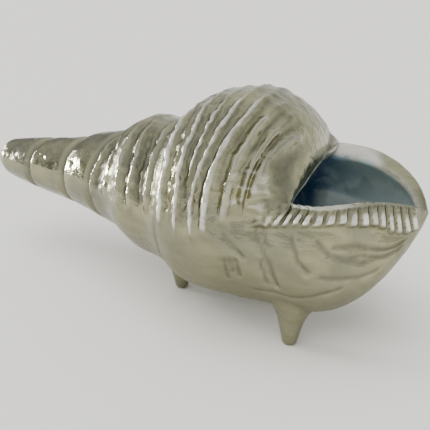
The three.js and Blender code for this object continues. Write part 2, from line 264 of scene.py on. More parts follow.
# Fineness of the mesh, and how its rows crowd
FRONT_COLUMNS = 100
BACK_COLUMNS = 64
ARCH_BACK_COLUMNS = 26
ARCH_FRONT_COLUMNS = 52
SPIRE_END = 43
SPIRE_ROWS = 80
RIDGED_ROWS = 108
FALLING_ROWS = 46
MOUTH_ROWS = 96
HOLLOW_ROWS = 24
RIM_ROWS = 6
RIM_BULGE = 0.45
RIM_SMOOTHING = 12
SPIRE_EVENNESS = 0.85
HOLLOW_CROWDING = 1.5
NOSE_CROWDING = 0.5

# Small steps that find a slope, a pitch or a height, and units
STEP_ALONG = 0.3
STEP_ROUND = 2
LEAST_SLOPE = 1e-6
PITCH_STEP = 0.5
HEIGHT_STEPS = 8
MM_PER_M = 1000

# The wall thickens to a broad edge at the far lip, over these degrees before and after it
LIP_SWELL = 1.9
LIP_SWELL_ROUND = (26, 25)
# Where the far rim is bright from wear along the axis, brightened further as painted highlight
RIM_HIGHLIGHT_PLACES = (102, 92)

# Colours of the metal outside, among them a painted highlight and painted shades
BARE_WARM = (0.372, 0.36, 0.227, 1)
BARE_GREY = (0.258, 0.26, 0.188, 1)
STREAKED = (0.21, 0.205, 0.14, 1)
# Painted highlight: near-white metal laid on heights bright from wear, partly real wear
POLISH_AND_HIGHLIGHT = (1.0, 0.99, 0.91, 1)
# Painted shade laid in recesses: valleys, sutures, engraved grooves and gaps between teeth
RECESS_SHADE = (0.16, 0.156, 0.12, 1)
# Painted shade for surfaces that face down, darker on the spire than on the belly
SHADE_BELOW_SPIRE = (0.145, 0.142, 0.094, 1)
SHADE_BELOW_BELLY = (0.188, 0.182, 0.108, 1)

# Colours of the lining
LINING_DEEP = (0.05, 0.14, 0.28, 1)
LINING_MOUTH = (0.42, 0.53, 0.54, 1)
# Painted light: the ledge in the hollow is paler, as if lit from above
LINING_LEDGE_LIGHT = (0.62, 0.7, 0.69, 1)
LINING_STREAK = (0.6, 0.7, 0.68, 1)
# Painted reflection: a pale band inside the rim, partly bare metal
PALE_EDGE_AND_REFLECTION = (0.56, 0.56, 0.52, 1)

# Noises of the metal as scale per metre, detail and distortion
CLOUDS = (110.0, 4.0, 0.5)
GRAIN = (700.0, 5.0, 0.0)
FLOW = (420.0, 3.0, 0.4)
FLOW_TURN = (0, 0.25, 0)
FLOW_STRETCH = (0.3, 1, 1)
RAGGED_EDGE_NOISE = (450.0, 4.0, 0.0)
LINING_STREAKS = (160.0, 5.0, 0.6)

# How a share follows what it depends on: from, to, and the two values it then takes if not 0 and 1
CLOUDY = (0.35, 0.65)
PATCHY = (0.38, 0.62, 0.5, 1.0)
POLISH_HIGHLIGHT_BY_RECESS = (0.0, -0.9)
STREAKS_BY_FLOW = (0.4, 0.6, 0.0, 0.45)
SHADE_BY_RECESS = (0.2, 1.0)
SHADE_BY_GRAIN = (0.3, 0.6, 0.5, 0.9)
BENEATH_BY_FACING = (0.35, -0.7, 0.0, 0.8)
LINED_BY_HOLLOW = (0.04, 0.2)
LEDGE_BY_HOLLOW = (1.1, 1.4)
RAGGED_BY_NOISE = (0.3, 0.7, -0.5, 0.5)
PALE_EDGE_BY_DEPTH = (0.35, 0.65)
LINING_STREAKY = (0.45, 0.75, 0.0, 0.6)
DULL_BY_RECESS = (0.0, 1.0)
ROUGH_BY_GRAIN = (0.3, 0.7, 0.12, 0.2)

# The same along X, in metres
STREAKS_ALONG = (-0.02, 0.0)
LOW_SIDE_ALONG = (-0.02, 0.01)
LINING_ALONG = (0.027, 0.041)
SATIN_ALONG = (-0.01, 0.015, 0.0, 0.4)
BRUSHED_ALONG = (-0.002, 0.01, 0.05, 0.32)

# Other strengths in the metal
LEDGE_LIGHT_SHARE = 0.9
DULLNESS = 0.25
LINING_UNMETALLIC = 0.8
BUMP_GRAIN = 0.35
BUMP_STRENGTH = 0.5
BUMP_DISTANCE = 0.0006

# The floor, in metres
FLOOR_SIZE = 40
FLOOR_NOISE = 40.0
FLOOR_COLOURS = ((0.90, 0.89, 0.87, 1), (0.92, 0.91, 0.895, 1))
FLOOR_ROUGHNESS = 0.85

# Lamps as energy, width in degrees and direction: keys from the spire's side, and a fill for the floor
KEYS = [(0.5, 8, (0.965, -0.2, -0.17)), (0.4, 6, (0.99, 0, -0.1)), (3.6, 13, (0.98, 0.15, -0.08))]
FILL = (2.0, 60, (0.1, 0.3, -0.95))
LAMP_COLOUR = (1, 0.985, 0.95)

# The room that the metal mirrors: low, which is dark to the left, high, and one bright window
ROOM_LOW_LEFT = (0.29, 0.29, 0.275, 1)
ROOM_LOW = (1.02, 1.02, 0.96, 1)
ROOM_HIGH = (1.0, 1.01, 0.99, 1)
ROOM_HIGH_RIGHT = (0.58, 0.58, 0.56, 1)
ROOM_WINDOW = (1.0, 1.0, 0.96, 1)
LOW_BY_X = (-0.78, -0.5)
HIGH_BY_X = (-0.1, 0.5)
HIGH_BY_Z = (0.15, 0.9)
WINDOW_TOWARDS = (-0.979, 0.03, 0.203)
WINDOW_EDGE = (0.97, 0.995)

# The camera, in metres, with its lens and sensor in millimetres
CAMERA_PLACE = (0.05787, -0.0908, 0.0646)
CAMERA_TOWARDS = (-0.4232, 0.8096, -0.4067)
CAMERA_LENS = 41.86
CAMERA_SENSOR = 36
CAMERA_CLIP = (0.005, 100)


def mix(a, b, share):
    """From a at share 0 to b at share 1."""
    return a + (b - a) * share


def smooth(start, end, value):
    """Rises gently from 0 at the start to 1 at the end, which may lie below the start."""
    t = np.clip((value - start) / (end - start), 0, 1)
    return t * t * (3 - 2 * t)


def window(limits, value):
    """Rises over the first two limits and falls over the last two."""
    rise_from, rise_to, fall_from, fall_to = limits
    return smooth(rise_from, rise_to, value) * smooth(fall_to, fall_from, value)


def curve(points):
    """A smooth curve through points (place, value), held level beyond its ends."""
    xs, ys = np.array(points, float).T
    before = np.maximum(np.arange(len(xs)) - 1, 0)
    after = np.minimum(np.arange(len(xs)) + 1, len(xs) - 1)
    slopes = (ys[after] - ys[before]) / (xs[after] - xs[before])

    def value(place):
        place = np.clip(place, xs[0], xs[-1])
        i = np.clip(np.searchsorted(xs, place) - 1, 0, len(xs) - 2)
        span = xs[i + 1] - xs[i]
        t = (place - xs[i]) / span
        rise = ys[i + 1] - ys[i]
        bend0 = slopes[i] * span - rise
        bend1 = rise - slopes[i + 1] * span
        return ys[i] + rise * t + t * (1 - t) * (bend0 * (1 - t) + bend1 * t)

    return value


underside = curve(UNDERSIDE)
top_swell = curve(TOP_SWELL)
belly_section = curve(BELLY_SECTION)
arch_section = curve(ARCH_SECTION)
turns_at = curve(TURNS)
front_drift = curve(FRONT_DRIFT)
back_drift = curve(BACK_DRIFT)
hollow_setback = curve(HOLLOW_SETBACK)
suture_depth = curve(SUTURE_DEPTH)
ridge_ramp = curve(RIDGE_RAMP)
tooth_reach = curve(TOOTH_REACH)
tooth_band = curve(TOOTH_BAND)
ledge_edge = curve(LEDGE_EDGE)


def bumps(points, wavelength, seed, count=20):
    """Smooth seeded unevenness of about -1 to 1 at points, as on a hand-finished casting."""
    rng = np.random.default_rng(seed)
    ways = rng.normal(size=(count, 3))
    ways /= np.linalg.norm(ways, axis=1)[:, None]
    lengths = wavelength * rng.uniform(0.7, 1.5, count)
    phases = rng.uniform(0, 2 * math.pi, count)
    total = np.zeros(points.shape[:-1])
    for way, length, phase in zip(ways, lengths, phases):
        total += np.sin(points @ way * (2 * math.pi / length) + phase)
    return total / math.sqrt(count)


def signed(angle):
    """The same angle from -180 at the back to 180 at the front."""
    return (angle + 180) % 360 - 180


def winding(angle):
    """Share of one turn that the grooves have wound by an angle."""
    return smooth(WINDING_FROM, WINDING_TO, angle % 360)


def drift(ring, angle):
    """How far a ring has shifted along the axis at an angle."""
    turned = signed(angle)

    def share(grown, lost):
        return smooth(0, grown, np.abs(turned)) * smooth(180, lost, np.abs(turned))

    front = front_drift(ring) * share(*FRONT_DRIFT_ANGLES)
    return np.where(turned > 0, front, back_drift(ring) * share(*BACK_DRIFT_ANGLES))


def belly_share(angle):
    """How far an angle belongs to the belly, and not to the arch over the mouth."""
    turned = angle % 360
    front = smooth(FRONT_LIP - CORNER_BLEND, FRONT_LIP + CORNER_BLEND, turned)
    return front * smooth(BACK_LIP + CORNER_BLEND, BACK_LIP - CORNER_BLEND, turned)


def plain_radius(along, angle):
    """Radius of the casting without its relief."""
    tip = np.clip((along - TIP) / TIP_ROUNDING, 0, 1)
    rounding = np.sqrt(1 - (1 - tip) ** 2)
    upward = 0.5 + 0.5 * np.cos(np.radians(angle - TOP_SWELL_ANGLE))
    body = underside(along) * rounding + top_swell(along) * upward
    fall = np.clip((along - DOME_CREST) / (ARCH - DOME_CREST), 0, 1)
    to_arch = 1 - np.sqrt(1 - fall**2)
    to_belly = smooth(DOME_CREST - BELLY_LEAD, ARCH, along)
    turned = angle % 360
    over_arch = (turned < FRONT_LIP) | (turned > BACK_LIP)
    section = np.where(over_arch, arch_section(signed(angle)), belly_section(turned))
    return mix(body, section, mix(to_arch, to_belly, belly_share(angle)))


def mouth_share(along):
    """Share of the way from the arch to the mouth's end."""
    return np.maximum((along - ARCH) / (MOUTH_END - ARCH), 0)


def narrowing(along, angle):
    """What is left of the radius towards the mouth's end: upwards, and to the side."""
    past = mouth_share(along)
    nose = np.maximum(1 - past ** NOSE_CURVE[0], 0) ** NOSE_CURVE[1]
    drawn_in = LIP_SQUEEZE * smooth(*SQUEEZE_PLACES, past) * smooth(*SQUEEZE_ANGLES, angle % 360)
    return nose, nose * (1 - drawn_in)


def place_points(along, angle, radius, setback=0):
    """Points at a radius, drawn in and up towards the mouth's end."""
    past = mouth_share(along)
    upwards, sideways = narrowing(along, angle)
    turn = np.radians(angle)
    y = MOUTH_END_SIDE * past**2 - radius * sideways * np.sin(turn)
    z = MOUTH_END_HEIGHT * past**2 + radius * upwards * np.cos(turn)
    return np.stack([along - setback + 0 * angle, y, z], -1)


def plain_points(along, angle):
    return place_points(along, angle, plain_radius(np.minimum(along, ARCH), angle))


def outward(along, angle):
    """The way out of the plain surface, or nothing where it has no slope to tell."""
    lengthwise = plain_points(along + STEP_ALONG, angle) - plain_points(along - STEP_ALONG, angle)
    sideways = plain_points(along, angle + STEP_ROUND) - plain_points(along, angle)
    normal = np.cross(sideways, lengthwise)
    return normal / np.maximum(np.linalg.norm(normal, axis=-1, keepdims=True), LEAST_SLOPE)


def suture(along, angle):
    """Share of the groove between two turns that is cut at a place."""
    pitch = 2 * PITCH_STEP / (turns_at(along + PITCH_STEP) - turns_at(along - PITCH_STEP))
    turn = turns_at(along) - winding(angle)
    distance = (turn - np.round(turn)) * pitch
    turned = angle % 360
    rise, end = SUTURE_FADE
    risen = smooth(WINDING_FROM, WINDING_FROM + rise, turned)
    at_back = risen * smooth(WINDING_TO + end, WINDING_TO - end, turned)
    present = smooth(*SUTURE_BEGINS, along) * mix(1, at_back, smooth(*SUTURE_TO_BACK, along))
    return present * np.exp(-((distance / SUTURE_WIDTH) ** 2))


def ridges(ring, angle, points):
    """Height of the ridges over the valleys, and where the surface is ridged."""
    turned = signed(angle)
    wavering = ring + RIDGE_WANDER * bumps(points, *RIDGE_WAVER)
    at_back = smooth(*RIDGED_BACK, -turned)
    whorls = smooth(*RIDGED_FROM, ring) * smooth(*RIDGED_TO, ring)
    relief = np.zeros(points.shape[:-1])
    nearest = np.full(relief.shape, np.inf)
    for place, end, high in RIDGES:
        present = np.where(turned > 0, smooth(end + RIDGE_END, end - RIDGE_END, turned), at_back)
        past = wavering - place
        width = np.where(past < 0, *RIDGE_WIDTH)
        profile = np.exp(-(np.abs(past / width) ** RIDGE_ROUNDNESS))
        ramp = np.clip(1 + past / ridge_ramp(place), 0, 1)
        profile = np.where(past < 0, mix(profile, ramp, smooth(*RAMPED_FROM, place)), profile)
        relief = np.maximum(relief, high * present * profile)
        nearest = np.minimum(nearest, np.abs(past))
    most = np.where(turned > 0, 1, RIDGE_MOST_BACK)
    least = mix(*RIDGE_LEAST, smooth(*RIDGE_FAINT_ARCH, ring))
    whorls = whorls * mix(least, most, smooth(*RIDGE_FAINT_TOP, np.abs(turned - RIDGE_FAINT_ROUND)))
    ridged = np.where(turned > 0, smooth(*RIDGED_FRONT, turned), at_back)
    return relief * whorls, whorls * ridged * smooth(*VALLEY_REACH, nearest)


def grooves(along, angle):
    """Depth of the engraved lines at a place, and how far into one it lies, from 0 to 1."""
    arc = np.radians(angle % 360) * GROOVE_RADIUS
    depth = np.zeros(np.broadcast(along, angle).shape)
    within = np.zeros_like(depth)
    for places, width, cut in GROOVES:
        ends = np.array(places, float)
        ends[:, 1] = np.radians(ends[:, 1]) * GROOVE_RADIUS
        nearest = np.full(depth.shape, np.inf)
        for start, end in zip(ends, ends[1:]):
            step = end - start
            reach = ((along - start[0]) * step[0] + (arc - start[1]) * step[1]) / (step @ step)
            reach = np.clip(reach, 0, 1)
            nearest = np.minimum(
                nearest, np.hypot(along - start[0] - reach * step[0], arc - start[1] - reach * step[1])
            )
        hit = np.exp(-((nearest / width) ** 2))
        depth = np.maximum(depth, cut * hit)
        within = np.maximum(within, hit)
    return depth, within


def dents(along, angle):
    """Depth of the small dents in the spire."""
    depth = np.zeros(np.broadcast(along, angle).shape)
    for place, turned in DENTS:
        arc = np.radians(signed(angle - turned)) * SPIRE_RADIUS
        depth = np.maximum(depth, DENT_DEPTH * np.exp(-((along - place) ** 2 + arc**2) / DENT_RADIUS**2))
    return depth


tooth_steps = np.linspace(0, 1, TOOTH_SAMPLES)
tooth_places = mix(
    TOOTH_FROM, TOOTH_TO, mix(tooth_steps, np.sin(math.pi / 2 * tooth_steps), TOOTH_CROWDING)
)
tooth_rng = np.random.default_rng(TOOTH_SEED)
tooth_length = tooth_rng.uniform(*TOOTH_LENGTHS, TEETH)
tooth_rise = TOOTH_HEIGHT * tooth_rng.uniform(*TOOTH_RISES, TEETH)


def teeth(along, lip):
    """Height of the toothed band at a distance from the front lip, its gaps, and its ends made bright by
    wear and painted highlight.
    """
    reach = tooth_reach(along)
    down = (lip - tooth_band(along)) / reach
    slant = mix(*TOOTH_SLANT, smooth(TOOTH_FROM, TOOTH_TO, along))
    place = along + slant * (down - 0.5) * reach
    number = np.interp(place, tooth_places, tooth_steps * (TEETH - 1))
    index = np.clip(np.round(number), 0, TEETH - 1).astype(int)
    crest = 1 - np.abs(np.sin(math.pi * number)) ** TOOTH_ROUNDNESS
    fade_in, fade_out = TOOTH_FADES
    row = smooth(TOOTH_FROM - fade_in, TOOTH_FROM, place) * smooth(TOOTH_TO + fade_out, TOOTH_TO, place)
    share = down / tooth_length[index]
    across = smooth(*TOOTH_ROOT, share) * np.sqrt(smooth(*TOOTH_TAIL, share))
    swollen = mix(*TOOTH_SWELL, smooth(*TOOTH_SWELLS_OVER, share))
    band = smooth(*LIP_ROLL_ROOT, down) * smooth(*LIP_ROLL_TAIL, down)
    roll_in, roll_out = LIP_ROLL_FADES
    begun = smooth(TOOTH_FROM - roll_in, TOOTH_FROM, along)
    shown = begun * smooth(MOUTH_END, MOUTH_END - roll_out, along) * band
    height = tooth_rise[index] * swollen * crest * row * across + LIP_ROLL * shown
    # Tooth ends bright from wear, brightened further as painted highlight
    wear_and_painted_light = row * across * np.minimum(TOOTH_HIGHLIGHT_CREST * crest, 1) * smooth(*TOOTH_HIGHLIGHT_OVER, share)
    return height, row * across * (1 - crest) ** 2, wear_and_painted_light


def outside(ring, angle):
    """Points of the outside, and how recessed each is, from 1 in a groove to -1 on a height bright from
    wear; recesses take painted shade and those heights painted highlight.
    """
    ring, angle = np.broadcast_arrays(ring, angle)
    along = ring + drift(ring, angle)
    points = plain_points(along, angle)
    relief, ridged = ridges(ring, angle, points)
    cut = suture(ring, angle)
    engraved, in_groove = grooves(along, angle)
    _, sideways = narrowing(along, angle)
    lip = np.radians(angle % 360 - FRONT_LIP) * LIP_RADIUS * sideways
    toothed, gap, end_wear_and_highlight = teeth(along, lip)
    signed_angle = signed(angle)
    on_dome = smooth(*DOME_RINGS, ring) * (1 - smooth(*RIDGE_FAINT_ARCH, ring))
    shoulder = smooth(*SHOULDER_ANGLES, signed_angle) * smooth(*SHOULDER_RINGS, ring)
    hammered = window(HAMMERED_ANGLES, signed_angle) * window(HAMMERED_PLACES, along)

    height = (1 + RIDGE_UNEVEN_SHARE * bumps(points, *RIDGE_UNEVEN)) * relief - RIDGE_SINK * ridged
    for pattern, everywhere, added in HAMMER_MARKS:
        height += (everywhere + mix(*added, on_dome) * ridged) * bumps(points, *pattern)
    height += SWELL_DEPTH * smooth(*SWELLS_BEGIN, along) * bumps(points, *SWELLS)
    height += toothed - suture_depth(along) * cut - engraved
    height -= dents(along, angle) * (1 + DENT_UNEVEN_SHARE * bumps(points, *DENT_UNEVEN))
    strokes = bumps(points, *STROKES)
    height += STROKE_DEPTH * hammered * strokes

    # Painted shade in the valleys between ridges, left off the shoulder and the hammered patch
    valley = mix(*VALLEY_SHADE, on_dome) * ridged * np.clip(1 - relief, 0, 1) ** 2
    valley = valley * (1 - np.maximum(shoulder, hammered))
    recess = np.maximum.reduce([valley, cut, GROOVE_SHADE * in_groove, gap])
    # Ridge crests bright from wear, partly painted highlight
    ridge_wear_and_highlight = mix(*RIDGE_WEAR_AND_HIGHLIGHT, on_dome) * smooth(*RIDGE_HIGHLIGHT_OVER, relief)
    # Painted glints scattered over the hammered patch
    stroke_glint = STROKE_GLINT * (hammered * smooth(*STROKE_GLINT_OVER, strokes))
    wear_and_painted_light = np.maximum.reduce([end_wear_and_highlight, ridge_wear_and_highlight, stroke_glint])
    return points + height[..., None] * outward(along, angle), recess - wear_and_painted_light * (1 - recess)


def inside(along, angle):
    """Points of the hollow, and how deep in it each lies, from 0 at the rim to 1, or 1.5 on its ledge, where
    the lining is painted lighter as if lit from above.
    """
    along, angle = np.broadcast_arrays(along, angle)
    turned = angle % 360
    before, after = LIP_SWELL_ROUND
    swell = smooth(BACK_LIP - before, BACK_LIP, turned) * smooth(BACK_LIP + after, BACK_LIP, turned)
    edge = ledge_edge(along)
    ledge = smooth(edge + LEDGE_SLOPE, edge - LEDGE_SLOPE, turned) * smooth(*LEDGE_BEGINS, along)
    ledge = ledge * smooth(FRONT_LIP, FRONT_LIP + LEDGE_FRONT, turned)
    radius = plain_radius(np.minimum(along, ARCH), angle) - WALL - LIP_SWELL * swell - LEDGE * ledge
    closed = np.minimum((along - HOLLOW_START) / HOLLOW_ROUNDING, 1)
    radius = radius * np.sqrt(1 - (1 - closed) ** 2)
    setback = hollow_setback(along)
    points = place_points(along, angle, radius, setback)
    radius = radius + WALL_SWELL_DEPTH * bumps(points, *WALL_SWELLS)
    radius = radius + WALL_GRAIN_DEPTH * bumps(points, *WALL_GRAIN)
    _, sideways = narrowing(along, angle)
    lip = np.radians(np.minimum(turned - FRONT_LIP, BACK_LIP - turned)) * radius * sideways
    bare = BARE_LIP * smooth(*BARE_PLACES, along)
    fade_in, fade_out = BARE_FADES
    behind_arch = smooth(*BARE_ARCH, ARCH - along)
    shallow = (1 - smooth(bare - fade_in, bare + fade_out, lip)) * (1 - behind_arch)
    # The ledge's mark makes the lining paler there as painted light
    depth = (1 - BARE_CLEARED * shallow) * (1 + LEDGE_LIGHT_MARK * ledge)
    return place_points(along, angle, radius, setback), depth


belly_angles = np.concatenate([
    np.linspace(FRONT_LIP, 180, FRONT_COLUMNS + 1), np.linspace(180, BACK_LIP, BACK_COLUMNS + 1)[1:],
])
arch_angles = np.concatenate([
    np.linspace(BACK_LIP, 360, ARCH_BACK_COLUMNS + 1)[1:],
    np.linspace(360, FRONT_LIP + 360, ARCH_FRONT_COLUMNS + 1)[1:-1],
])
angles = np.concatenate([belly_angles, arch_angles])
quarter = np.sin(np.linspace(0, math.pi / 2, FALLING_ROWS + 1))[1:]
spire_steps = np.linspace(0, 1, SPIRE_ROWS + 1)[1:]
outside_rows = np.concatenate([
    mix(TIP, SPIRE_END, mix(spire_steps**2, spire_steps, SPIRE_EVENNESS)),
    np.linspace(SPIRE_END, DOME_CREST, RIDGED_ROWS + 1)[1:],
    mix(DOME_CREST, ARCH, quarter),
])
hollow_rows = mix(HOLLOW_START, ARCH, np.linspace(0, 1, HOLLOW_ROWS + 1)[1:] ** HOLLOW_CROWDING)
mouth_steps = np.linspace(0, 1, MOUTH_ROWS + 1)[1:-1]
mouth_crowded = mix(mouth_steps, np.sin(mouth_steps * math.pi / 2), NOSE_CROWDING)
mouth_rows = mix(ARCH, MOUTH_END, mouth_crowded)

vertices = []
recessed = []
hollowed = []
faces = []


def add(points, recess, hollow):
    """Adds points of any shape to the casting and returns their numbers in the same shape."""
    first = sum(len(block) for block in vertices)
    flat = points.reshape(-1, 3)
    vertices.append(flat)
    recessed.append(np.broadcast_to(recess, points.shape[:-1]).ravel())
    hollowed.append(np.broadcast_to(hollow, points.shape[:-1]).ravel())
    return np.arange(first, first + len(flat)).reshape(points.shape[:-1])


def weave(numbers, closed, flipped):
    """Quads between the rows and columns of vertex numbers."""
    if closed:
        numbers = np.concatenate([numbers, numbers[:, :1]], 1)
    a, b, c, d = numbers[:-1, :-1], numbers[1:, :-1], numbers[1:, 1:], numbers[:-1, 1:]
    quads = np.stack([d, c, b, a] if flipped else [a, b, c, d], -1).reshape(-1, 4)
    for quad in quads.tolist():
        corners = list(dict.fromkeys(quad))
        if len(corners) > 2:
            faces.append(corners)


def side(surface, ring_rows, start_along, is_hollow):
    """One side of the wall. Returns its rim's vertex numbers and those one step in from the rim."""
    def put(along, angle):
        points, share = surface(np.asarray(along, float), np.asarray(angle, float))
        return add(points, 0 if is_hollow else share, share if is_hollow else 0)

    pole = put([[start_along]], [[0.0]])
    rings = put(ring_rows[:, None], angles[None, :])
    whole = np.concatenate([np.broadcast_to(pole, (1, len(angles))), rings])
    weave(whole, True, not is_hollow)
    mouth = put(mouth_rows[:, None], belly_angles[None, :])
    end = put([[MOUTH_END]], [[180.0]])
    belly = len(belly_angles)
    opened = np.concatenate([rings[-1:, :belly], mouth, np.broadcast_to(end, (1, belly))])
    weave(opened, False, not is_hollow)
    rim = np.concatenate([opened[:, 0], opened[-2::-1, -1], rings[-1, belly:]])
    middle = opened[-3, belly // 2]
    step_in = np.concatenate([opened[:-1, 1], [middle], opened[-2::-1, -2], rings[-2, belly:]])
    return rim, step_in


outer_rim, outer_in = side(outside, outside_rows, float(TIP), False)
inner_rim, inner_in = side(inside, hollow_rows, float(HOLLOW_START), True)

# A rounded rim that joins the two sides
so_far = np.concatenate(vertices)
edge_out, edge_in = so_far[outer_rim], so_far[inner_rim]
outwards = (edge_out - so_far[outer_in]) + (edge_in - so_far[inner_in])
across = edge_out - edge_in
half = np.linalg.norm(across, axis=1, keepdims=True) / 2
outwards -= across * (outwards * across).sum(1, keepdims=True) / (4 * half**2)
outwards /= np.linalg.norm(outwards, axis=1, keepdims=True)
for _ in range(RIM_SMOOTHING):
    outwards = (np.roll(outwards, 1, 0) + 2 * outwards + np.roll(outwards, -1, 0)) / 4
outwards /= np.linalg.norm(outwards, axis=1, keepdims=True)
strips = [outer_rim]
middle = (edge_out + edge_in) / 2
# The far rim is brightened: wear, and painted highlight
rim_wear_and_highlight = -RIM_WEAR_AND_HIGHLIGHT * smooth(*RIM_HIGHLIGHT_PLACES, middle[:, 0])
stain = np.concatenate(hollowed)[inner_rim]
for step in range(1, RIM_ROWS):
    turn = math.pi * step / RIM_ROWS
    bulge = RIM_BULGE * half * math.sin(turn) * outwards
    stained = stain * (step / RIM_ROWS) ** 2
    strips.append(add(middle + across / 2 * math.cos(turn) + bulge, rim_wear_and_highlight, stained))
strips.append(inner_rim)
weave(np.stack(strips), True, True)


def to_frame(points):
    """From the shell's own frame in millimetres to the part's frame in metres, by the place of one foot."""
    mount = next(m for m in frame["record"]["mounts"] if m["name"] == "front_foot")
    along, to_back = FRONT_FOOT
    return (points - [along, to_back, -AXIS_HEIGHT]) / MM_PER_M + mount["pos_m"]


def mesh_object(name, points, polygons):
    mesh = bpy.data.meshes.new(name)
    mesh.from_pydata(to_frame(points).tolist(), [], polygons)
    mesh.update()
    piece = bpy.data.objects.new(name, mesh)
    bpy.context.scene.collection.objects.link(piece)
    return piece


def belly_height(along, to_back):
    """Height of the underside over a place, from the axis."""
    angle = np.full(np.shape(along), 180.0)
    for _ in range(HEIGHT_STEPS):
        point = plain_points(along, angle)
        radius = np.hypot(point[..., 1], point[..., 2])
        angle = 180 - np.degrees(np.arcsin(np.clip(-to_back / radius, -1, 1)))
    return plain_points(along, angle)[..., 2]


def foot(name, along, to_back):
    """A tapered peg with a rounded tip, flared where it meets the belly."""
    shares, radii = np.array(FOOT_PROFILE, float).T
    turns = np.linspace(0, 2 * math.pi, FOOT_SIDES, endpoint=False)
    x = along + radii[:, None] * np.cos(turns)
    y = to_back + radii[:, None] * np.sin(turns)
    top = belly_height(x, y) + np.where(shares == 1, FLARE_BURIED, 0)[:, None]
    rings = np.stack([x, y, mix(-AXIS_HEIGHT, top, shares[:, None])], -1)
    tip = [along, to_back, -AXIS_HEIGHT]
    buried = [along, to_back, float(belly_height(np.array(along), to_back)) + FOOT_BURIED]
    points = np.concatenate([rings.reshape(-1, 3), [tip, buried]])
    tip_number, buried_number = len(points) - 2, len(points) - 1
    levels = len(FOOT_PROFILE)
    polygons = []
    for i in range(FOOT_SIDES):
        j = (i + 1) % FOOT_SIDES
        polygons.append((tip_number, j, i))
        for level in range(levels - 1):
            low, high = level * FOOT_SIDES, (level + 1) * FOOT_SIDES
            polygons.append((low + i, low + j, high + j, high + i))
        high = (levels - 1) * FOOT_SIDES
        polygons.append((high + i, high + j, buried_number))
    return mesh_object(name, points, polygons)


shell = mesh_object("cast_shell", np.concatenate(vertices), faces)
for name, values in (("recess", recessed), ("hollow", hollowed)):
    layer = shell.data.attributes.new(name, "FLOAT", "POINT")
    layer.data.foreach_set("value", np.concatenate(values).astype(np.float32))
for number, (along, to_back) in enumerate(FEET):
    peg = foot(f"peg_{number}", along, to_back)
    union = shell.modifiers.new(f"union_{number}", "BOOLEAN")
    union.operation = "UNION"
    union.solver = "MANIFOLD"
    union.object = peg
evaluated = shell.evaluated_get(bpy.context.evaluated_depsgraph_get())
joined = bpy.data.meshes.new_from_object(evaluated)
shell.modifiers.clear()
shell.data = joined
for number in range(len(FEET)):
    bpy.data.objects.remove(bpy.data.objects[f"peg_{number}"])
joined.polygons.foreach_set("use_smooth", [True] * len(joined.polygons))
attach(shell, "root")
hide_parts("shell")


class Nodes:
    """Adds nodes to a material's tree. A value given as a socket is linked, any other is set."""

    def __init__(self, material):
        material.use_nodes = True
        self.tree = material.node_tree
        self.tree.nodes.clear()

    def add(self, kind, settings=None, **inputs):
        node = self.tree.nodes.new(kind)
        for key, value in (settings or {}).items():
            setattr(node, key, value)
        for key, value in inputs.items():
            socket = node.inputs[int(key[1:]) if key[1:].isdigit() else key.replace("_", " ")]
            if isinstance(value, bpy.types.NodeSocket):
                self.tree.links.new(value, socket)
            else:
                socket.default_value = value
        return node

    def attribute(self, name):
        return self.add("ShaderNodeAttribute", {"attribute_name": name}).outputs["Fac"]

    def noise(self, where, scale, detail=3.0, distortion=0.0):
        return self.add(
            "ShaderNodeTexNoise", Vector=where, Scale=scale, Detail=detail, Distortion=distortion
        ).outputs["Fac"]

    def spread(self, value, low, high, to_low=0.0, to_high=1.0):
        """Maps a value from one range to another and holds it there."""
        node = self.add("ShaderNodeMapRange", i0=value, i1=low, i2=high, i3=to_low, i4=to_high)
        node.interpolation_type = "SMOOTHSTEP"
        return node.outputs[0]

    def blend(self, share, first, second):
        """Mixes two colours."""
        node = self.add("ShaderNodeMix", {"data_type": "RGBA"}, i0=share, i6=first, i7=second)
        return node.outputs[2]

    def math(self, operation, first, second):
        return self.add("ShaderNodeMath", {"operation": operation}, i0=first, i1=second).outputs[0]

    def times(self, first, second):
        return self.math("MULTIPLY", first, second)

    def plus(self, first, second):
        return self.math("ADD", first, second)

    def axes(self, vector):
        return self.add("ShaderNodeSeparateXYZ", Vector=vector).outputs


def bare_metal(nodes, where, along, flowing):
    """Colour of clouded metal, streaked on the large whorls."""
    cloudy = nodes.spread(nodes.noise(where, *CLOUDS), *CLOUDY)
    bare = nodes.blend(cloudy, BARE_WARM, BARE_GREY)
    streaks = nodes.times(nodes.spread(flowing, *STREAKS_BY_FLOW), nodes.spread(along, *STREAKS_ALONG))
    return nodes.blend(streaks, bare, STREAKED)


def lining(nodes, where, along, hollow):
    """Colour of the hollow: blue patina, paler to the mouth, painted lighter on the ledge as if lit from
    above, with a ragged pale edge that is partly bare metal and partly a painted reflection.
    """
    patina = nodes.blend(nodes.spread(along, *LINING_ALONG), LINING_DEEP, LINING_MOUTH)
    # Painted light on the ledge
    on_ledge = nodes.times(nodes.spread(hollow, *LEDGE_BY_HOLLOW), LEDGE_LIGHT_SHARE)
    ledge_lit = nodes.blend(on_ledge, patina, LINING_LEDGE_LIGHT)
    streaky = nodes.spread(nodes.noise(where, *LINING_STREAKS), *LINING_STREAKY)
    streaked = nodes.blend(streaky, ledge_lit, LINING_STREAK)
    # Pale band inside the rim, partly bare metal and partly a painted reflection, with a ragged edge
    ragged = nodes.plus(hollow, nodes.spread(nodes.noise(where, *RAGGED_EDGE_NOISE), *RAGGED_BY_NOISE))
    return nodes.blend(nodes.spread(ragged, *PALE_EDGE_BY_DEPTH), PALE_EDGE_AND_REFLECTION, streaked)


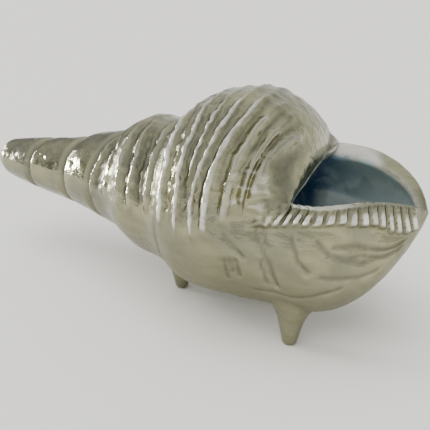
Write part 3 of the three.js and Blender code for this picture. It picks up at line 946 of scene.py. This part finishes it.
def cast_metal():
    """The casting's one metal: bright on heights from wear and painted highlight, painted shade in grooves
    and beneath, lined in the hollow.
    """
    material = bpy.data.materials.new("cast_metal")
    nodes = Nodes(material)
    where = nodes.add("ShaderNodeTexCoord").outputs["Object"]
    along = nodes.axes(where)["X"]
    facing = nodes.axes(nodes.add("ShaderNodeNewGeometry").outputs["Normal"])
    recess = nodes.attribute("recess")
    hollow = nodes.attribute("hollow")
    grainy = nodes.noise(where, *GRAIN)
    stretched = nodes.add("ShaderNodeMapping", Vector=where, Rotation=FLOW_TURN, Scale=FLOW_STRETCH)
    flowing = nodes.noise(stretched.outputs[0], *FLOW)

    # Painted highlight: heights bright from wear blend towards near-white metal
    polish_and_highlight = nodes.times(nodes.spread(recess, *POLISH_HIGHLIGHT_BY_RECESS), nodes.spread(flowing, *PATCHY))
    polished_and_highlit = nodes.blend(polish_and_highlight, bare_metal(nodes, where, along, flowing), POLISH_AND_HIGHLIGHT)
    # Painted shade on surfaces that face down
    beneath = nodes.spread(facing["Z"], *BENEATH_BY_FACING)
    low_side = nodes.blend(nodes.spread(along, *LOW_SIDE_ALONG), SHADE_BELOW_SPIRE, SHADE_BELOW_BELLY)
    shaded = nodes.blend(beneath, polished_and_highlit, low_side)
    # Painted shade in recesses, varied by grain
    recess_shade = nodes.times(
        nodes.spread(recess, *SHADE_BY_RECESS), nodes.spread(grainy, *SHADE_BY_GRAIN)
    )
    wear_and_painted_light = nodes.blend(recess_shade, shaded, RECESS_SHADE)
    lined = nodes.spread(hollow, *LINED_BY_HOLLOW)
    colour = nodes.blend(lined, wear_and_painted_light, lining(nodes, where, along, hollow))

    dull = nodes.times(nodes.math("MAXIMUM", nodes.spread(recess, *DULL_BY_RECESS), lined), DULLNESS)
    satin = nodes.times(beneath, nodes.spread(along, *SATIN_ALONG))
    brushed = nodes.times(polish_and_highlight, nodes.spread(along, *BRUSHED_ALONG))
    rough = nodes.plus(
        nodes.plus(nodes.spread(grainy, *ROUGH_BY_GRAIN), brushed), nodes.plus(dull, satin)
    )
    relief = nodes.plus(flowing, nodes.times(grainy, BUMP_GRAIN))
    bump = nodes.add("ShaderNodeBump", Strength=BUMP_STRENGTH, Distance=BUMP_DISTANCE, Height=relief)
    metallic = nodes.math("SUBTRACT", 1.0, nodes.times(lined, LINING_UNMETALLIC))
    surface = nodes.add(
        "ShaderNodeBsdfPrincipled",
        Base_Color=colour, Metallic=metallic, Roughness=rough, Normal=bump.outputs[0],
    )
    nodes.add("ShaderNodeOutputMaterial", Surface=surface.outputs[0])
    return material


def floor_surface():
    material = bpy.data.materials.new("pale_floor")
    nodes = Nodes(material)
    where = nodes.add("ShaderNodeTexCoord").outputs["Object"]
    colour = nodes.blend(nodes.noise(where, FLOOR_NOISE), *FLOOR_COLOURS)
    surface = nodes.add("ShaderNodeBsdfPrincipled", Base_Color=colour, Roughness=FLOOR_ROUGHNESS)
    nodes.add("ShaderNodeOutputMaterial", Surface=surface.outputs[0])
    return material


joined.materials.clear()
joined.materials.append(cast_metal())

bpy.ops.mesh.primitive_plane_add(size=FLOOR_SIZE, location=(0, 0, 0))
floor = bpy.context.object
floor.name = "floor"
floor.data.materials.append(floor_surface())


def sun(name, energy, width, towards):
    """A sun lamp that shines in a direction."""
    lamp = bpy.data.lights.new(name, "SUN")
    lamp.energy = energy
    lamp.angle = math.radians(width)
    lamp.color = LAMP_COLOUR
    light = bpy.data.objects.new(name, lamp)
    light.rotation_euler = Vector(towards).to_track_quat("-Z", "Y").to_euler()
    bpy.context.scene.collection.objects.link(light)
    return light


for number, key in enumerate(KEYS):
    sun(f"key_{number}", *key)
fill = sun("fill", *FILL)
fill.visible_glossy = False

world = bpy.data.worlds.new("room")
bpy.context.scene.world = world
room = Nodes(world)
direction = room.add("ShaderNodeTexCoord").outputs["Generated"]
axes = room.axes(direction)
low = room.blend(room.spread(axes["X"], *LOW_BY_X), ROOM_LOW_LEFT, ROOM_LOW)
high = room.blend(room.spread(axes["X"], *HIGH_BY_X), ROOM_HIGH, ROOM_HIGH_RIGHT)
shade = room.blend(room.spread(axes["Z"], *HIGH_BY_Z), low, high)
facing = room.add("ShaderNodeVectorMath", {"operation": "DOT_PRODUCT"}, i0=direction, i1=WINDOW_TOWARDS)
lit = room.blend(room.spread(facing.outputs["Value"], *WINDOW_EDGE), shade, ROOM_WINDOW)
sky = room.add("ShaderNodeBackground", Color=lit, Strength=1.0)
room.add("ShaderNodeOutputWorld", Surface=sky.outputs[0])

camera = bpy.data.cameras.new("camera")
camera.lens = CAMERA_LENS
camera.sensor_width = CAMERA_SENSOR
camera.clip_start, camera.clip_end = CAMERA_CLIP
viewer = bpy.data.objects.new("camera", camera)
viewer.location = CAMERA_PLACE
viewer.rotation_euler = Vector(CAMERA_TOWARDS).to_track_quat("-Z", "Y").to_euler()
bpy.context.scene.collection.objects.link(viewer)
bpy.context.scene.camera = viewer
